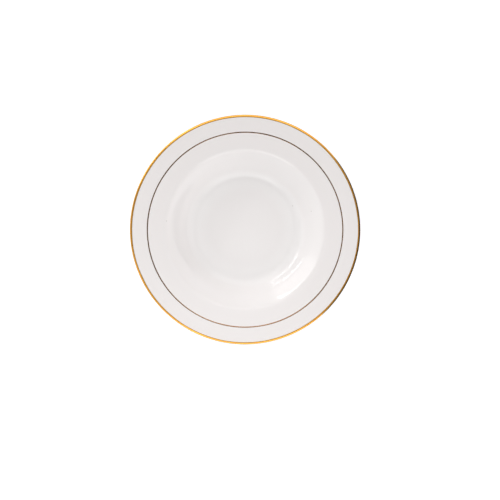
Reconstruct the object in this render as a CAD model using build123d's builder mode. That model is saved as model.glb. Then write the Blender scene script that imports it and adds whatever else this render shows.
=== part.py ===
from build123d import *
from math import atan2, cos, degrees, radians, sin, tan
import os

# Rimmed porcelain serving bowl with a gold edge and a fine gold line on the rim.
# One fired body carries a clear glaze, and the two gold films are fired on the glaze.
# Millimetres, +Z up. The origin is the centre of the foot ring, in the plane it stands on.

# Driving dimensions of the glazed bowl
overall_diameter = 230.0
overall_height = 37.5
rim_crease_diameter = 159.0  # where the line of the well wall meets the line of the rim
well_floor_diameter = 111.0  # where the line of the well wall meets the floor
wall_bend_diameter = 136.0  # where the steeper foot of the well wall meets its upper part
wall_bend_height = 20.5
floor_height = 8.0
rim_slope = 11.5  # degrees above level
wall_thickness = 4.0
edge_thickness = 2.8

# Foot ring under the well
foot_diameter = 101.0  # middle of the ground face
foot_height = 3.6
foot_face_width = 1.8
foot_root_width = 4.4

# The top of the edge turns over in arcs that tighten outwards, from one slope to the next
edge_slopes = (rim_slope, -20.0, -55.0, -90.0)
edge_radii = (2.4, 1.7, 1.3)

# Rounding of the other corners, from the well floor round the edge to the foot recess
floor_corner_rounding = 18.0
wall_bend_rounding = 100.0
crease_rounding = 9.0
edge_bottom_rounding = 0.8
back_crease_rounding = 13.0
heel_rounding = 6.0
foot_root_rounding = 1.2
foot_face_rounding = 0.4

# Skins on the body. Gold is far thinner in life, and is drawn thick enough for a closed solid.
glaze_thickness = 0.25
bare_foot_height = 0.7  # wiped clear of glaze, up from the ground face
gold_edge_thickness = 0.2
gold_edge_width = 2.3  # seen from above
gold_edge_depth = 1.7  # from the highest point of the rim down round the edge
inner_line_thickness = 0.1
inner_line_diameter = 195.4
inner_line_width = 1.0


def behind(corner, slope_before, slope_after, thickness):
    """Corner of the back that lies a wall thickness behind a corner of the face."""
    middle = radians((slope_before + slope_after) / 2)
    reach = thickness / cos(radians((slope_after - slope_before) / 2))
    return (corner[0] + reach * sin(middle), corner[1] - reach * cos(middle))


def edge_corners():
    """Corners that the arcs of the edge round off, from the rim to the outermost."""
    corners = []
    reach = 0
    for before, after, radius in zip(edge_slopes, edge_slopes[1:], edge_radii):
        start = radians(before)
        cut = radius * tan(radians(before - after) / 2)
        if corners:
            inner = corners[-1]
            run = reach + cut
            corners.append((inner[0] + run * cos(start), inner[1] + run * sin(start)))
        else:
            corners.append((0, overall_height + cut * sin(start) - radius * (1 - cos(start))))
        reach = cut
    outward = overall_diameter / 2 - corners[-1][0]
    return [(corner[0] + outward, corner[1]) for corner in corners]


# Corners of the half section as (radius, height). The face, outwards
rim_angle = radians(rim_slope)
wall_width = (rim_crease_diameter - well_floor_diameter) / 2
edge_start, edge_middle, edge_side = edge_corners()
crease_radius = rim_crease_diameter / 2
crease = (crease_radius, edge_start[1] - (edge_start[0] - crease_radius) * tan(rim_angle))
floor_corner = (well_floor_diameter / 2, floor_height)
wall_bend = (wall_bend_diameter / 2, wall_bend_height)
wall_slope = degrees(atan2(crease[1] - floor_height, wall_width))

# The back, inwards under the rim, down the wall and round the foot ring
edge_bottom = (edge_side[0], overall_height - edge_thickness)
back_crease = behind(crease, wall_slope, rim_slope, wall_thickness)
back_drop = back_crease[1] - foot_height
heel = (back_crease[0] - back_drop / tan(radians(wall_slope)), foot_height)
foot_radius = foot_diameter / 2
foot_outer_root = (foot_radius + foot_root_width / 2, foot_height)
foot_outer_face = (foot_radius + foot_face_width / 2, 0)
foot_inner_face = (foot_radius - foot_face_width / 2, 0)
foot_inner_root = (foot_radius - foot_root_width / 2, foot_height)

rounded_corners = [
    (floor_corner, floor_corner_rounding),
    (wall_bend, wall_bend_rounding),
    (crease, crease_rounding),
    (edge_start, edge_radii[0]),
    (edge_middle, edge_radii[1]),
    (edge_side, edge_radii[2]),
    (edge_bottom, edge_bottom_rounding),
    (back_crease, back_crease_rounding),
    (heel, heel_rounding),
    (foot_outer_root, foot_root_rounding),
    (foot_outer_face, foot_face_rounding),
    (foot_inner_face, foot_face_rounding),
    (foot_inner_root, foot_root_rounding),
]

# Half section of the glazed bowl. Sketch X is the radius and sketch Y is the height.
with BuildSketch() as glazed_section:
    with BuildLine():
        FilletPolyline(
            (0, floor_height),
            *[corner for corner, _ in rounded_corners],
            (0, foot_height),
            radius=[radius for _, radius in rounded_corners],
        )
        Line((0, foot_height), (0, floor_height))
    make_face()


def section_moved_out(distance):
    """Half section of the bowl with its surface moved out, or in where distance is negative."""
    with BuildSketch() as section:
        add(glazed_section.sketch)
        mirror(about=Plane.YZ)
        offset(amount=distance)
        split(bisect_by=Plane.YZ)
    return section.sketch


# The clay lies under the glaze everywhere but at the foot, where it comes to the surface.
with BuildSketch() as clay_section:
    add(glazed_section.sketch)
    with Locations((foot_radius, bare_foot_height / 2)):
        Rectangle(foot_root_width, bare_foot_height, mode=Mode.INTERSECT)
    add(section_moved_out(-glaze_thickness))

# What is left is glaze: the bare foot parts it into a large coat and a small disc.
with BuildSketch() as glaze_section:
    add(glazed_section.sketch)
    add(clay_section.sketch, mode=Mode.SUBTRACT)
recess_glaze_face, coat_face = glaze_section.faces().sort_by(SortBy.AREA)

# Gold is the part of a slightly larger bowl that stands out of the glaze inside a window.
with BuildSketch() as gold_edge_section:
    add(section_moved_out(gold_edge_thickness))
    with Locations((overall_diameter / 2 - gold_edge_width, overall_height - gold_edge_depth)):
        Rectangle(
            gold_edge_width + edge_thickness,
            gold_edge_depth + edge_thickness,
            align=(Align.MIN, Align.MIN),
            mode=Mode.INTERSECT,
        )
    add(glazed_section.sketch, mode=Mode.SUBTRACT)

with BuildSketch() as inner_line_section:
    add(section_moved_out(inner_line_thickness))
    with Locations((inner_line_diameter / 2, overall_height)):
        Rectangle(
            inner_line_width,
            2 * edge_thickness,
            align=(Align.CENTER, Align.MAX),
            mode=Mode.INTERSECT,
        )
    add(glazed_section.sketch, mode=Mode.SUBTRACT)

# Jiggered and fired body: well, rim and foot ring in one piece
with BuildPart() as porcelain_body:
    with BuildSketch(Plane.XZ):
        add(clay_section.sketch)
    revolve(axis=Axis.Z)
porcelain_body.part.label = "porcelain_body"

# Glaze over the face, round the edge and down the back to the bare foot
with BuildPart() as glaze_coat:
    with BuildSketch(Plane.XZ):
        add(coat_face)
    revolve(axis=Axis.Z)
glaze_coat.part.label = "glaze_coat"

# Glaze inside the foot ring, cut off from the rest by the bare foot
with BuildPart() as foot_recess_glaze:
    with BuildSketch(Plane.XZ):
        add(recess_glaze_face)
    revolve(axis=Axis.Z)
foot_recess_glaze.part.label = "foot_recess_glaze"

# Broad gold band over the edge
with BuildPart() as gold_edge_band:
    with BuildSketch(Plane.XZ):
        add(gold_edge_section.sketch)
    revolve(axis=Axis.Z)
gold_edge_band.part.label = "gold_edge_band"

# Fine gold line on the rim
with BuildPart() as gold_inner_line:
    with BuildSketch(Plane.XZ):
        add(inner_line_section.sketch)
    revolve(axis=Axis.Z)
gold_inner_line.part.label = "gold_inner_line"

os.makedirs("parts", exist_ok=True)
export_step(porcelain_body.part, "parts/porcelain_body.step")
export_step(glaze_coat.part, "parts/glaze_coat.step")
export_step(foot_recess_glaze.part, "parts/foot_recess_glaze.step")
export_step(gold_edge_band.part, "parts/gold_edge_band.step")
export_step(gold_inner_line.part, "parts/gold_inner_line.step")
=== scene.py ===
from math import atan2, ceil, cos, exp, hypot, pi, radians, sin, sqrt, tan

import bpy
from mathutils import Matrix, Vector


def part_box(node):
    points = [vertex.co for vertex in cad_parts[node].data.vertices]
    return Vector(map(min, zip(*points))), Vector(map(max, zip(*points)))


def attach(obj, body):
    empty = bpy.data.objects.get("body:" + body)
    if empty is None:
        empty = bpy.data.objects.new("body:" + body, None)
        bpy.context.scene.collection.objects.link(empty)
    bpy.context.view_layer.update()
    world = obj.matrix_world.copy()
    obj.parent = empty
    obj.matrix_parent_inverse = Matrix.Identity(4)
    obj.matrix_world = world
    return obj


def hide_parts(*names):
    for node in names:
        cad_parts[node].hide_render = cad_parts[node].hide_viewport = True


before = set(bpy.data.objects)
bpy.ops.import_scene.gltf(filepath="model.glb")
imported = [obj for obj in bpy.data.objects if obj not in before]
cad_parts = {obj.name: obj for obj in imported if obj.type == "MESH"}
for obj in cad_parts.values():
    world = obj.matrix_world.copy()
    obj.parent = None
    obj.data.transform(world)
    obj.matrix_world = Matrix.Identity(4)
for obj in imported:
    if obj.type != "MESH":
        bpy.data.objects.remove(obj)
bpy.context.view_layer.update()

# ==========================================================================================
# PORCELAIN BODY
# One piece of white hard-paste porcelain, pressed over a spinning plaster mould by a shaped
# tool, with its foot ring turned when leather-hard. Glaze hides all of it but the ground
# face of the foot ring and the narrow strip beside it that is wiped bare before firing.
# ==========================================================================================
MM = 0.001
edge_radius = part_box("glaze_coat")[1].x
rim_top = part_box("glaze_coat")[1].z
bare_foot_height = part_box("glaze_coat")[0].z
glaze_thickness = 0.25 * MM
foot_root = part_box("foot_recess_glaze")[1].z - glaze_thickness
floor_height = 8.0 * MM
floor_radius = 55.5 * MM
wall_bend = (68.0 * MM, 20.5 * MM)
crease = (79.5 * MM, 30.706 * MM)
rim_slope = radians(11.5)
wall_thickness = 4.0 * MM
edge_thickness = 2.8 * MM
foot_radius = 50.5 * MM
half_foot_face = 0.9 * MM
half_foot_root = 2.2 * MM

# The top of the edge turns over in arcs that tighten outwards, from one slope to the next
edge_slopes = (rim_slope, radians(-20), radians(-55), radians(-90))
edge_roundings = (2.4 * MM, 1.7 * MM, 1.3 * MM)


def edge_corners():
    """Corners that the arcs of the edge round off, from the rim to the outermost."""
    corners = []
    reach = 0
    for slope, slope_after, rounding in zip(edge_slopes, edge_slopes[1:], edge_roundings):
        cut = rounding * tan((slope - slope_after) / 2)
        if corners:
            run = reach + cut
            corners.append((corners[-1][0] + run * cos(slope), corners[-1][1] + run * sin(slope)))
        else:
            corners.append((0, rim_top + cut * sin(slope) - rounding * (1 - cos(slope))))
        reach = cut
    outward = edge_radius - corners[-1][0]
    return [(radius + outward, height) for radius, height in corners]


def behind(corner, slope, slope_after):
    """Corner of the back that lies a wall thickness behind a corner of the face."""
    middle = (slope + slope_after) / 2
    reach = wall_thickness / cos((slope_after - slope) / 2)
    return corner[0] + reach * sin(middle), corner[1] - reach * cos(middle)


edge_start, edge_middle, edge_side = edge_corners()
wall_slope = atan2(crease[1] - floor_height, crease[0] - floor_radius)
back_crease = behind(crease, wall_slope, rim_slope)
heel_radius = back_crease[0] - (back_crease[1] - foot_root) / tan(wall_slope)

# The glazed bowl in half section: where its straight runs would meet, and how far each
# meeting is rounded. From the middle of the well out over the rim, and back under it.
section_corners = [
    (0, floor_height, 0),
    (floor_radius, floor_height, 18 * MM),
    (*wall_bend, 100 * MM),
    (*crease, 9 * MM),
    (*edge_start, edge_roundings[0]),
    (*edge_middle, edge_roundings[1]),
    (*edge_side, edge_roundings[2]),
    (edge_radius, rim_top - edge_thickness, 0.8 * MM),
    (*back_crease, 13 * MM),
    (heel_radius, foot_root, 6 * MM),
    (foot_radius + half_foot_root, foot_root, 1.2 * MM),
    (foot_radius + half_foot_face, 0, 0.4 * MM),
    (foot_radius - half_foot_face, 0, 0.4 * MM),
    (foot_radius - half_foot_root, foot_root, 1.2 * MM),
    (0, foot_root, 0),
]


def rounded_run(corners, arc_step=radians(3), run_step=5 * MM):
    """Points (travelled, radius, height, out_r, out_z) along straight runs joined by arcs.

    The last two give the direction that points out of the porcelain there.
    """
    points = []

    def add_point(radius, height, heading):
        gap = hypot(radius - points[-1][1], height - points[-1][2]) if points else 0
        if points and gap < 0.001 * MM:
            return
        travelled = points[-1][0] + gap if points else 0
        points.append((travelled, radius, height, -sin(heading), cos(heading)))

    def add_straight(start, end, heading):
        steps = max(1, ceil(hypot(end[0] - start[0], end[1] - start[1]) / run_step))
        for step in range(steps + 1):
            share = step / steps
            radius = start[0] + share * (end[0] - start[0])
            add_point(radius, start[1] + share * (end[1] - start[1]), heading)

    reached = corners[0][:2]
    for before, (radius, height, rounding), after in zip(corners, corners[1:], corners[2:]):
        heading = atan2(height - before[1], radius - before[0])
        heading_after = atan2(after[1] - height, after[0] - radius)
        turn = (heading_after - heading + pi) % (2 * pi) - pi
        side = 1 if turn > 0 else -1
        cut = rounding * tan(abs(turn) / 2)
        leave = (radius - cut * cos(heading), height - cut * sin(heading))
        add_straight(reached, leave, heading)
        middle = (leave[0] - side * rounding * sin(heading), leave[1] + side * rounding * cos(heading))
        steps = ceil(abs(turn) / arc_step)
        for step in range(steps + 1):
            now = heading + turn * step / steps
            reached = (middle[0] + side * rounding * sin(now), middle[1] - side * rounding * cos(now))
            add_point(*reached, now)
    add_straight(reached, corners[-1][:2], heading_after)
    return points


surface = rounded_run(section_corners)
RADIUS, HEIGHT = 1, 2


def crossing(coordinate, value, after=0.0):
    """Distance along the surface where its radius or height first passes a value."""
    for one, two in zip(surface, surface[1:]):
        if one[0] >= after and (one[coordinate] - value) * (two[coordinate] - value) <= 0:
            share = (value - one[coordinate]) / (two[coordinate] - one[coordinate])
            return one[0] + share * (two[0] - one[0])


def surface_point(travelled, lift=0.0):
    """Radius and height of the surface at a distance along it, lifted off it or sunk below it."""
    one, two = next(pair for pair in zip(surface, surface[1:]) if travelled <= pair[1][0])
    share = (travelled - one[0]) / (two[0] - one[0])
    radius, height, out_r, out_z = (a + share * (b - a) for a, b in zip(one[1:], two[1:]))
    size = hypot(out_r, out_z)
    return radius + lift * out_r / size, height + lift * out_z / size


def layer(start, end, lift=0.0):
    """The surface from one distance to another, lifted off it or sunk below it."""
    between = [p for p in surface if start < p[0] < end]
    inner = [(r + lift * out_r, z + lift * out_z) for _, r, z, out_r, out_z in between]
    return [surface_point(start, lift), *inner, surface_point(end, lift)]


# Firing leaves every bowl a little out of true. One slow wave round the rim moves every
# layer alike, so that the layers stay together, and the ground foot stays flat.
rim_wave = 0.16 * MM
rim_out_of_round = 0.10 * MM


def fired(radius, height, angle):
    """Where the kiln left a point of the true bowl."""
    loose = (radius / edge_radius) ** 2 * min(1, max(0, height) / foot_root)
    radius += rim_out_of_round * loose * sin(2 * angle + 0.7)
    height += rim_wave * loose * (sin(2 * angle + 2.1) + 0.4 * sin(3 * angle))
    return radius * cos(angle), radius * sin(angle), height


round_steps = 360


def turned(name, section_at):
    """A closed solid turned round the axis. section_at(angle) is its section there.

    A section that starts and ends on the axis gets a pole at each end, and any other is a
    ring, whose last point joins its first.
    """
    sections = [section_at(2 * pi * step / round_steps) for step in range(round_steps)]
    has_poles = sections[0][0][0] < 0.001 * MM
    rings = [section[1:-1] if has_poles else section for section in sections]
    across = len(rings[0])
    points = [fired(r, z, 2 * pi * step / round_steps) for step, ring in enumerate(rings) for r, z in ring]
    faces = []
    for step in range(round_steps):
        here, there = step * across, (step + 1) % round_steps * across
        for one in range(across - has_poles):
            two = (one + 1) % across
            faces.append((here + one, here + two, there + two, there + one))
        if has_poles:
            first_pole, last_pole = len(points), len(points) + 1
            faces.append((first_pole, here, there))
            faces.append((last_pole, there + across - 1, here + across - 1))
    if has_poles:
        points += [(0, 0, sections[0][0][1]), (0, 0, sections[0][-1][1])]
    mesh = bpy.data.meshes.new(name)
    mesh.from_pydata(points, [], faces)
    mesh.shade_smooth()
    mesh.set_sharp_from_angle(angle=radians(50))
    piece = bpy.data.objects.new(name, mesh)
    bpy.context.collection.objects.link(piece)
    return piece


whole_way = surface[-1][0]
bare_from = crossing(HEIGHT, bare_foot_height)
bare_to = crossing(HEIGHT, bare_foot_height, after=bare_from + 1 * MM)
bevel_height = 0.3 * MM


def bare_foot_section():
    """The ground face of the foot ring, with a bevel up to the clay that lies under glaze."""
    points = []
    steps = 32
    for step in range(steps + 1):
        travelled = bare_from + (bare_to - bare_from) * step / steps
        height = surface_point(travelled)[1]
        sunk = max(0, height - bevel_height) / (bare_foot_height - bevel_height)
        points.append(surface_point(travelled, -glaze_thickness * min(1, sunk)))
    return points


clay_section = [
    *layer(0, bare_from, -glaze_thickness)[:-1],
    *bare_foot_section(),
    *layer(bare_to, whole_way, -glaze_thickness)[1:],
]
clay_piece = turned("bowl_clay", lambda angle: clay_section)


def place(tree, kind, inputs=(), **settings):
    """A shader node with its settings made, and its inputs linked or given a value."""
    made = tree.nodes.new("ShaderNode" + kind)
    for setting, value in settings.items():
        setattr(made, setting, value)
    for socket, value in dict(inputs).items():
        if isinstance(value, bpy.types.NodeSocket):
            tree.links.new(value, made.inputs[socket])
        else:
            made.inputs[socket].default_value = value
    return made


def shader_group(name, inputs, outputs):
    """An empty shader node group, with its input and output nodes. Sockets hold numbers."""
    group = bpy.data.node_groups.new(name, "ShaderNodeTree")
    for socket, value in inputs.items():
        made = group.interface.new_socket(socket, in_out="INPUT", socket_type="NodeSocketFloat")
        made.default_value = value
    for socket in outputs:
        group.interface.new_socket(socket, in_out="OUTPUT", socket_type="NodeSocketFloat")
    return group, group.nodes.new("NodeGroupInput"), group.nodes.new("NodeGroupOutput")


def calculate(tree, operation, first, *others):
    """One operation carried through two or more values in turn."""
    for other in others:
        first = place(tree, "Math", {0: first, 1: other}, operation=operation).outputs[0]
    return first


def ranged(tree, value, low, high, low_out, high_out):
    """A value carried smoothly from one range to another, and held at its ends."""
    inputs = {"Value": value, "From Min": low, "From Max": high, "To Min": low_out, "To Max": high_out}
    return place(tree, "MapRange", inputs, interpolation_type="SMOOTHSTEP").outputs["Result"]


FIRST_COLOUR, SECOND_COLOUR, MIXED_COLOUR = 6, 7, 2  # places of the colour sockets on a Mix node


def mixed(tree, factor, one, two):
    """One colour carried to another by a mask."""
    inputs = {"Factor": factor, FIRST_COLOUR: one, SECOND_COLOUR: two}
    return place(tree, "Mix", inputs, data_type="RGBA").outputs[MIXED_COLOUR]


def from_axis(tree, where):
    """The level vector from the axis to a place, and its length."""
    parts = place(tree, "SeparateXYZ", {"Vector": where})
    level = place(tree, "CombineXYZ", {"X": parts.outputs["X"], "Y": parts.outputs["Y"]}).outputs[0]
    return level, place(tree, "VectorMath", {0: level}, operation="LENGTH").outputs["Value"]


def mottle_group():
    """Soft uneven patches, from Low to High."""
    group, given, result = shader_group("mottle", {"Scale": 40, "Low": 0, "High": 1}, ["Value"])
    where = place(group, "TexCoord").outputs["Object"]
    noise = place(group, "TexNoise", {"Vector": where, "Scale": given.outputs["Scale"], "Detail": 4})
    value = ranged(group, noise.outputs["Fac"], 0.3, 0.7, given.outputs["Low"], given.outputs["High"])
    group.links.new(value, result.inputs["Value"])
    return group


def turning_group():
    """Faint rings left by the tool as the bowl spins under it, wandering a little."""
    group, given, result = shader_group("turning rings", {"Rings Per Metre": 300}, ["Height"])
    where = place(group, "TexCoord").outputs["Object"]
    _, radius = from_axis(group, where)
    wander = place(group, "TexNoise", {"Vector": where, "Scale": 12, "Detail": 1}).outputs["Fac"]
    track = calculate(group, "MULTIPLY", radius, given.outputs["Rings Per Metre"])
    track = calculate(group, "ADD", track, wander)
    noise = place(group, "TexNoise", {"W": track, "Scale": 1, "Detail": 2}, noise_dimensions="1D")
    group.links.new(noise.outputs["Fac"], result.inputs["Height"])
    return group


mottle = mottle_group()
turning = turning_group()


def use_group(tree, group, inputs=()):
    made = place(tree, "Group", node_tree=group)
    for socket, value in dict(inputs).items():
        made.inputs[socket].default_value = value
    return made


def new_material(name):
    material = bpy.data.materials.new(name)
    material.use_nodes = True
    return material, material.node_tree, material.node_tree.nodes["Principled BSDF"]


def bare_porcelain():
    """Ground and wiped clay: chalky, warm, and greyed where it has stood on tables."""
    material, tree, shader = new_material("bare_porcelain")
    stain = use_group(tree, mottle, {"Scale": 90, "Low": 0, "High": 1}).outputs["Value"]
    height = place(tree, "SeparateXYZ", {"Vector": place(tree, "TexCoord").outputs["Object"]}).outputs["Z"]
    on_table = ranged(tree, height, 0.02 * MM, 0.25 * MM, 1, 0)
    worn = calculate(tree, "MULTIPLY", on_table, ranged(tree, stain, 0, 1, 0.35, 1))
    colour = mixed(tree, stain, (0.74, 0.71, 0.65, 1), (0.80, 0.78, 0.73, 1))
    tree.links.new(mixed(tree, worn, colour, (0.50, 0.47, 0.42, 1)), shader.inputs["Base Color"])
    rough = use_group(tree, mottle, {"Scale": 220, "Low": 0.55, "High": 0.8})
    tree.links.new(rough.outputs["Value"], shader.inputs["Roughness"])
    grain = place(tree, "TexNoise", {"Scale": 4500, "Detail": 3}).outputs["Fac"]
    rings = use_group(tree, turning, {"Rings Per Metre": 4000}).outputs["Height"]
    relief = calculate(tree, "ADD", grain, rings)
    bump = place(tree, "Bump", {"Strength": 0.5, "Distance": 0.03 * MM, "Height": relief})
    tree.links.new(bump.outputs["Normal"], shader.inputs["Normal"])
    return material


clay_piece.data.materials.append(bare_porcelain())
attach(clay_piece, "root")
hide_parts("porcelain_body")

# ==========================================================================================
# GLAZE COAT
# Clear feldspar glaze, sprayed and fired to a hard gloss over the face, the edge and the
# back, a quarter of a millimetre thick. It draws up into a soft roll where the foot was
# wiped, and carries a few grey specks of iron.
# ==========================================================================================
glaze_wander = 0.10 * MM


def rolled_end(travelled, towards):
    """The rounded end of the glaze, over from its surface to the clay, or the other way back."""
    points = []
    steps = 6
    for step in range(1, steps):
        angle = pi * step / steps
        reach = 0.5 * glaze_thickness * sin(angle)
        sunk = 0.5 * glaze_thickness * (1 - cos(angle))
        points.append(surface_point(travelled + towards * reach, -sunk))
    return points


def coat_section(angle):
    end = bare_from - glaze_wander * (1.6 + sin(5 * angle) * sin(2 * angle + 1) + 0.4 * sin(13 * angle))
    glazed = layer(0, bare_from - 4 * glaze_wander) + [surface_point(end)]
    clay_side = [surface_point(end, -glaze_thickness)]
    clay_side += layer(0, bare_from - 4 * glaze_wander, -glaze_thickness)[::-1]
    return glazed + rolled_end(end, 1) + clay_side


coat_piece = turned("bowl_glaze", coat_section)


def gloss_glaze():
    """Clear glaze over white clay, with specks; painted light lifts the shade round the foot of the wall,
    and painted shade darkens the rim.
    """
    material, tree, shader = new_material("gloss_glaze")
    where = place(tree, "TexCoord").outputs["Object"]
    tone = use_group(tree, mottle, {"Scale": 14, "Low": 0, "High": 1}).outputs["Value"]
    colour = mixed(tree, tone, (0.852, 0.834, 0.829, 1), (0.867, 0.850, 0.846, 1))
    _, radius = from_axis(tree, where)
    # The rim is painted a little darker and pinker than the well: painted shade.
    rim_painted_shade = ranged(tree, radius, 74 * MM, 84 * MM, 0, 1)
    colour = mixed(tree, rim_painted_shade, colour, (0.846, 0.824, 0.819, 1))
    # A ring round the foot of the wall is painted lighter: painted light that lifts the shade in the
    # corner of the well.
    past_floor = ranged(tree, radius, 34 * MM, 48 * MM, 0, 1)
    before_wall = ranged(tree, radius, 54 * MM, 62 * MM, 1, 0)
    corner_painted_light = calculate(tree, "MULTIPLY", past_floor, before_wall)
    colour = mixed(tree, corner_painted_light, colour, (0.890, 0.877, 0.873, 1))

    # Grey iron specks: place on the face, seen from above, and size, all in millimetres
    specks = None
    for x, y, size in ((48.5, 23.4, 0.50), (-78.8, 9.1, 0.45), (66.7, 18.5, 0.45)):
        height = surface_point(crossing(RADIUS, hypot(x, y) * MM))[1]
        apart = place(tree, "VectorMath", {0: where, 1: (x * MM, y * MM, height)}, operation="DISTANCE")
        speck = ranged(tree, apart.outputs["Value"], 0.25 * size * MM, 1.2 * size * MM, 1, 0)
        specks = calculate(tree, "MAXIMUM", specks, speck) if specks else speck
    specks = calculate(tree, "MULTIPLY", specks, 0.8)
    tree.links.new(mixed(tree, specks, colour, (0.30, 0.27, 0.24, 1)), shader.inputs["Base Color"])

    rough = use_group(tree, mottle, {"Scale": 30, "Low": 0.03, "High": 0.05})
    tree.links.new(rough.outputs["Value"], shader.inputs["Roughness"])
    peel = place(tree, "TexNoise", {"Vector": where, "Scale": 260, "Detail": 1}).outputs["Fac"]
    rings = use_group(tree, turning, {"Rings Per Metre": 130}).outputs["Height"]
    relief = calculate(tree, "ADD", calculate(tree, "MULTIPLY", peel, 0.5), rings)
    bump = place(tree, "Bump", {"Strength": 0.35, "Distance": 0.02 * MM, "Height": relief})
    tree.links.new(bump.outputs["Normal"], shader.inputs["Normal"])
    return material


glaze_material = gloss_glaze()
coat_piece.data.materials.append(glaze_material)
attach(coat_piece, "root")
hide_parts("glaze_coat")

# ==========================================================================================
# FOOT RECESS GLAZE
# The same glaze inside the foot ring. It went on in the same spraying, and the bare foot
# parts it from the coat outside.
# ==========================================================================================


def recess_section(angle):
    start = bare_to + glaze_wander * (1.6 + sin(4 * angle + 2) * sin(3 * angle) + 0.4 * sin(11 * angle))
    clay_side = layer(bare_to + 4 * glaze_wander, whole_way, -glaze_thickness)[::-1]
    glazed = layer(bare_to + 4 * glaze_wander, whole_way)
    roll = rolled_end(start, -1)[::-1]
    return [*clay_side, surface_point(start, -glaze_thickness), *roll, surface_point(start), *glazed]


recess_piece = turned("foot_recess_glaze_skin", recess_section)
recess_piece.data.materials.append(glaze_material)
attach(recess_piece, "root")
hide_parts("foot_recess_glaze")

# ==========================================================================================
# GOLD EDGE BAND
# Liquid bright gold, laid over the edge with a loaded brush while the bowl turns on a
# banding wheel, and fired on the glaze. Its inner border wanders by a hair's breadth, and
# the stroke overlaps itself where it ends.
# ==========================================================================================
gold_thickness = 0.03 * MM
stroke_overlap = 0.06  # radians that the end of a stroke runs over its start
gold_sink = 0.03 * MM
edge_band_width = 2.45 * MM
edge_band_depth = 1.8 * MM
edge_band_from = crossing(RADIUS, edge_radius - edge_band_width)
edge_band_to = crossing(HEIGHT, rim_top - edge_band_depth, after=edge_band_from)


def turns_apart(angle, other):
    return (angle - other + pi) % (2 * pi) - pi


def brushed_film(name, start, end, wander, join, points_across):
    """A thin film between two distances along the surface, with the borders of a brush stroke."""
    def section_at(angle):
        overlap = exp(-(turns_apart(angle, join) / stroke_overlap) ** 2)
        sway = sin(2 * angle + 0.4) + 0.6 * sin(5 * angle + join) + 0.3 * sin(17 * angle)
        other_sway = sin(3 * angle + join) + 0.5 * sin(7 * angle) + 0.3 * sin(19 * angle + 1)
        first = start + 0.5 * wander * sway - 1.5 * wander * overlap
        last = end + 0.5 * wander * other_sway + 0.5 * wander * overlap
        top, under = [], []
        for index in range(points_across):
            share = index / (points_across - 1)
            lift = gold_thickness * sqrt(1 - abs(2 * share - 1) ** 6)
            travelled = first + share * (last - first)
            top.append(surface_point(travelled, lift))
            under.append(surface_point(travelled, -gold_sink))
        return top + under[::-1]
    return turned(name, section_at)


edge_band_piece = brushed_film("gold_edge", edge_band_from, edge_band_to, 0.10 * MM, radians(205), 28)


def banding_group():
    """Brush marks that run round with the wheel, and the thin places that use has rubbed."""
    inputs = {"Strokes Per Metre": 6000, "Rubbed": 0.2}
    group, given, result = shader_group("banding strokes", inputs, ["Streak", "Thin"])
    where = place(group, "TexCoord").outputs["Object"]
    level, radius = from_axis(group, where)
    around = place(group, "VectorMath", {0: level}, operation="NORMALIZE").outputs["Vector"]
    around = place(group, "VectorMath", {0: around, "Scale": 4}, operation="SCALE").outputs["Vector"]
    across = calculate(group, "MULTIPLY", radius, given.outputs["Strokes Per Metre"])
    lift = place(group, "CombineXYZ", {"Z": across}).outputs[0]
    track = place(group, "VectorMath", {0: around, 1: lift}, operation="ADD").outputs["Vector"]
    streak = place(group, "TexNoise", {"Vector": track, "Scale": 1, "Detail": 3}).outputs["Fac"]
    group.links.new(streak, result.inputs["Streak"])
    patch = place(group, "TexNoise", {"Vector": where, "Scale": 55, "Detail": 6, "Roughness": 0.7})
    threshold = calculate(group, "SUBTRACT", 0.8, given.outputs["Rubbed"])
    above = calculate(group, "SUBTRACT", patch.outputs["Fac"], threshold)
    group.links.new(ranged(group, above, 0, 0.08, 0, 1), result.inputs["Thin"])
    return group


banding = banding_group()


def fired_gold(name, strokes, rubbed, low, high):
    """Bright gold on gloss glaze, darker and duller where it was laid or rubbed thin."""
    material, tree, shader = new_material(name)
    marks = use_group(tree, banding, {"Strokes Per Metre": strokes, "Rubbed": rubbed})
    streak, thin = marks.outputs["Streak"], marks.outputs["Thin"]
    colour = mixed(tree, ranged(tree, streak, 0.35, 0.65, 0, 1), low, high)
    tree.links.new(mixed(tree, thin, colour, (0.30, 0.22, 0.14, 1)), shader.inputs["Base Color"])
    tree.links.new(ranged(tree, thin, 0, 1, 1, 0.55), shader.inputs["Metallic"])
    tree.links.new(ranged(tree, streak, 0.3, 0.7, 0.10, 0.18), shader.inputs["Roughness"])
    bump = place(tree, "Bump", {"Strength": 0.3, "Distance": 0.01 * MM, "Height": streak})
    tree.links.new(bump.outputs["Normal"], shader.inputs["Normal"])
    return material


edge_gold = fired_gold("fired_gold_edge", 6000, 0.16, (0.86, 0.42, 0.075, 1), (0.94, 0.51, 0.10, 1))
edge_band_piece.data.materials.append(edge_gold)
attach(edge_band_piece, "root")
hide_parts("gold_edge_band")

# ==========================================================================================
# GOLD INNER LINE
# A fine line of gold, drawn with a liner brush on the banding wheel half-way over the rim.
# It is narrower and duller than the edge band.
# ==========================================================================================
inner_line_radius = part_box("gold_inner_line")[1].x - 0.50 * MM
inner_line_width = 1.20 * MM
inner_line_middle = crossing(RADIUS, inner_line_radius)
inner_line_piece = brushed_film(
    "gold_line",
    inner_line_middle - 0.5 * inner_line_width,
    inner_line_middle + 0.5 * inner_line_width,
    0.06 * MM,
    radians(258),
    24,
)
line_gold = fired_gold("fired_gold_line", 9000, 0.16, (0.50, 0.31, 0.18, 1), (0.70, 0.43, 0.25, 1))
inner_line_piece.data.materials.append(line_gold)
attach(inner_line_piece, "root")
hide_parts("gold_inner_line")

# ==========================================================================================
# TABLE AND LIGHT
# A white table inside low white walls, under a dark ceiling, with soft lights to the left of
# the bowl and near it, and a black card close to its right. The camera looks down on the
# bowl from a little beyond its middle.
# ==========================================================================================
table_size = 6.0


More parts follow.
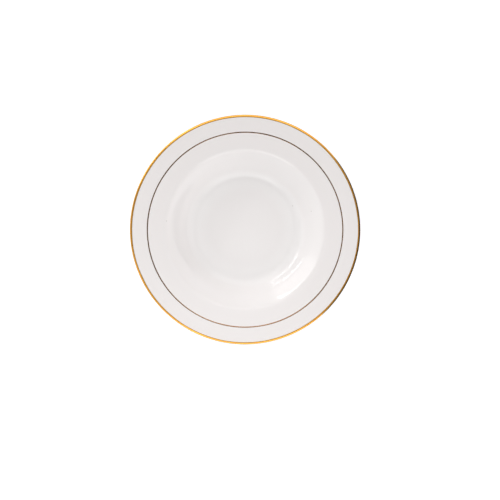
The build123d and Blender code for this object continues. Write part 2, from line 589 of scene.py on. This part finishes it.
def white_table():
    """Matt white, with a glow that only the camera sees, so that it lights nothing."""
    material, tree, shader = new_material("white_table")
    tone = use_group(tree, mottle, {"Scale": 3, "Low": 0.5, "High": 0.55})
    tree.links.new(tone.outputs["Value"], shader.inputs["Roughness"])
    shader.inputs["Base Color"].default_value = (0.80, 0.80, 0.80, 1)
    shader.inputs["Emission Color"].default_value = (1, 1, 1, 1)
    seen = place(tree, "LightPath").outputs["Is Camera Ray"]
    tree.links.new(calculate(tree, "MULTIPLY", seen, 0.45), shader.inputs["Emission Strength"])
    return material


table_mesh = bpy.data.meshes.new("table")
half = table_size / 2
table_corners = [(-half, -half, 0), (half, -half, 0), (half, half, 0), (-half, half, 0)]
table_mesh.from_pydata(table_corners, [], [(0, 1, 2, 3)])
table = bpy.data.objects.new("table", table_mesh)
bpy.context.collection.objects.link(table)
table_mesh.materials.append(white_table())


card_gap = 18 * MM
card_rise = 26 * MM
card_foot = 0.5 * MM
card_from, card_to = radians(-48), radians(39)


def dark_card():
    """A matt black card curved round the right of the bowl, which the camera doesn't see.

    The gold shows it as the dark line along the right of the edge. From low down, the gloss
    of the rim shows it too, as a grey patch.
    """
    material, tree, shader = new_material("black_card")
    nap = use_group(tree, mottle).outputs["Value"]
    black = mixed(tree, nap, (0.02, 0.02, 0.02, 1), (0.03, 0.03, 0.03, 1))
    tree.links.new(black, shader.inputs["Base Color"])
    shader.inputs["Roughness"].default_value = 0.9
    radius = edge_radius + card_gap
    steps = 40
    points = []
    for step in range(steps + 1):
        bearing = card_from + (card_to - card_from) * step / steps
        top = rim_top + card_rise * sin(pi * step / steps) ** 0.4
        points += [(radius * cos(bearing), radius * sin(bearing), z) for z in (card_foot, top)]
    faces = [(2 * step, 2 * step + 2, 2 * step + 3, 2 * step + 1) for step in range(steps)]
    mesh = bpy.data.meshes.new("card")
    mesh.from_pydata(points, [], faces)
    mesh.materials.append(material)
    card = bpy.data.objects.new("card", mesh)
    card.visible_camera = card.visible_diffuse = card.visible_shadow = False
    bpy.context.collection.objects.link(card)
    return card


dark_card()


def soft_light(name, bearing, elevation, distance, size, watts, colour=(1, 1, 1)):
    """A rectangular soft light, aimed at the bowl. Its bearing runs from +X towards +Y."""
    light = bpy.data.lights.new(name, "AREA")
    light.shape = "RECTANGLE"
    light.size, light.size_y = size
    light.energy = watts
    light.color = colour
    lamp = bpy.data.objects.new(name, light)
    away = Vector((
        cos(radians(elevation)) * cos(radians(bearing)),
        cos(radians(elevation)) * sin(radians(bearing)),
        sin(radians(elevation)),
    ))
    lamp.location = away * distance + Vector((0, 0, 0.02))
    lamp.rotation_euler = (-away).to_track_quat("-Z", "Y").to_euler()
    lamp.visible_camera = False
    bpy.context.collection.objects.link(lamp)


window_bearing = 138  # degrees from +X towards +Y
soft_light("panel_left", 180, 36, 0.60, (0.55, 0.35), 0.22, (0.96, 1.0, 1.0))
soft_light("panel_lower_left", 225, 40, 0.55, (0.40, 0.30), 0.30, (0.96, 1.0, 1.0))
soft_light("panel_near", 270, 45, 0.65, (0.50, 0.30), 0.36)
soft_light("strip_far_left", window_bearing, 17.5, 1.00, (0.70, 0.05), 0.80)
soft_light("sheet_near", 275, 40, 1.50, (1.60, 1.00), 2.10)


def studio_surroundings():
    """White walls low all round, with more light over the far, near and right sides.

    A tall window stands at the far left. The ceiling is dark but for its far and left sides
    and a patch right over the bowl.
    """
    world = bpy.data.worlds.new("studio")
    world.use_nodes = True
    tree = world.node_tree
    direction = place(tree, "TexCoord").outputs["Generated"]
    parts = place(tree, "SeparateXYZ", {"Vector": direction})
    height = parts.outputs["Z"]
    level = place(tree, "CombineXYZ", {"X": parts.outputs["X"], "Y": parts.outputs["Y"]}).outputs[0]
    level = place(tree, "VectorMath", {0: level}, operation="NORMALIZE").outputs["Vector"]
    across = place(tree, "SeparateXYZ", {"Vector": level})

    walls_foot = ranged(tree, height, 0.05, 0.17, 0, 1)
    walls_top = ranged(tree, height, 0.37, 0.53, 1, 0)
    near_right = calculate(tree, "SUBTRACT", across.outputs["X"], across.outputs["Y"])
    wall_light = ranged(tree, near_right, 0.9, 1.4, 1.15, 1.55)
    walls = calculate(tree, "MULTIPLY", walls_foot, walls_top, wall_light)

    window_way = (cos(radians(window_bearing)), sin(radians(window_bearing)), 0)
    to_window = place(tree, "VectorMath", {0: level, 1: window_way}, operation="DOT_PRODUCT")
    window_sides = ranged(tree, to_window.outputs["Value"], 0.88, 0.97, 0, 1.4)
    window_foot = ranged(tree, height, 0.09, 0.18, 0, 1)
    window_top = ranged(tree, height, 0.35, 0.62, 1, 0)
    window = calculate(tree, "MULTIPLY", window_foot, window_top, window_sides)

    above_walls = ranged(tree, height, 0.37, 0.53, 0, 1)
    below_ceiling = ranged(tree, height, 0.80, 0.90, 1, 0)
    far_side = ranged(tree, across.outputs["Y"], 0.6, 0.9, 0, 1.75)
    near_side = ranged(tree, across.outputs["Y"], -0.9, -0.6, 0.9, 0)
    right_side = ranged(tree, across.outputs["X"], 0.6, 0.9, 0, 0.7)
    sides = calculate(tree, "ADD", far_side, near_side, right_side)
    upper = calculate(tree, "MULTIPLY", above_walls, below_ceiling, sides)

    ceiling_left = ranged(tree, parts.outputs["X"], -0.55, -0.2, 0.6, 0.08)
    ceiling_far = ranged(tree, parts.outputs["Y"], 0.05, 0.35, 0, 0.8)
    past_walls = calculate(tree, "SUBTRACT", 1.0, below_ceiling)
    ceiling = calculate(tree, "ADD", ceiling_left, ceiling_far)
    ceiling = calculate(tree, "MULTIPLY", ceiling, past_walls)

    patch_way = (0.02, -0.09, 1)
    off_patch = place(tree, "VectorMath", {0: direction, 1: patch_way}, operation="DISTANCE")
    patch = ranged(tree, off_patch.outputs["Value"], 0.12, 0.27, 1, 0)
    patch_light = ranged(tree, parts.outputs["X"], -0.06, 0.05, 0.45, 0.65)
    overhead = calculate(tree, "MULTIPLY", patch, patch_light)

    glow = calculate(tree, "ADD", walls, upper, ceiling, window, overhead)
    warm_white = (1.022, 0.996, 0.989)
    lit = place(tree, "VectorMath", {0: warm_white, "Scale": glow}, operation="SCALE")
    seen = place(tree, "LightPath").outputs["Is Camera Ray"]
    backdrop = mixed(tree, seen, lit.outputs["Vector"], (0.93, 0.93, 0.93, 1))
    tree.links.new(backdrop, tree.nodes["Background"].inputs["Color"])
    return world


bpy.context.scene.world = studio_surroundings()
bpy.context.scene.view_settings.view_transform = "Standard"

camera_data = bpy.data.cameras.new("camera")
camera_data.sensor_width = 36
camera_data.lens = 84.05
camera = bpy.data.objects.new("camera", camera_data)
camera_tilt = radians(4.5)
camera_height = 1.2
looks_at = Vector((0.0049, -0.0195, rim_top))
camera.location = (looks_at.x, looks_at.y + (camera_height - rim_top) * tan(camera_tilt), camera_height)
camera.rotation_euler = (-camera_tilt, 0, 0)
bpy.context.collection.objects.link(camera)
bpy.context.scene.camera = camera
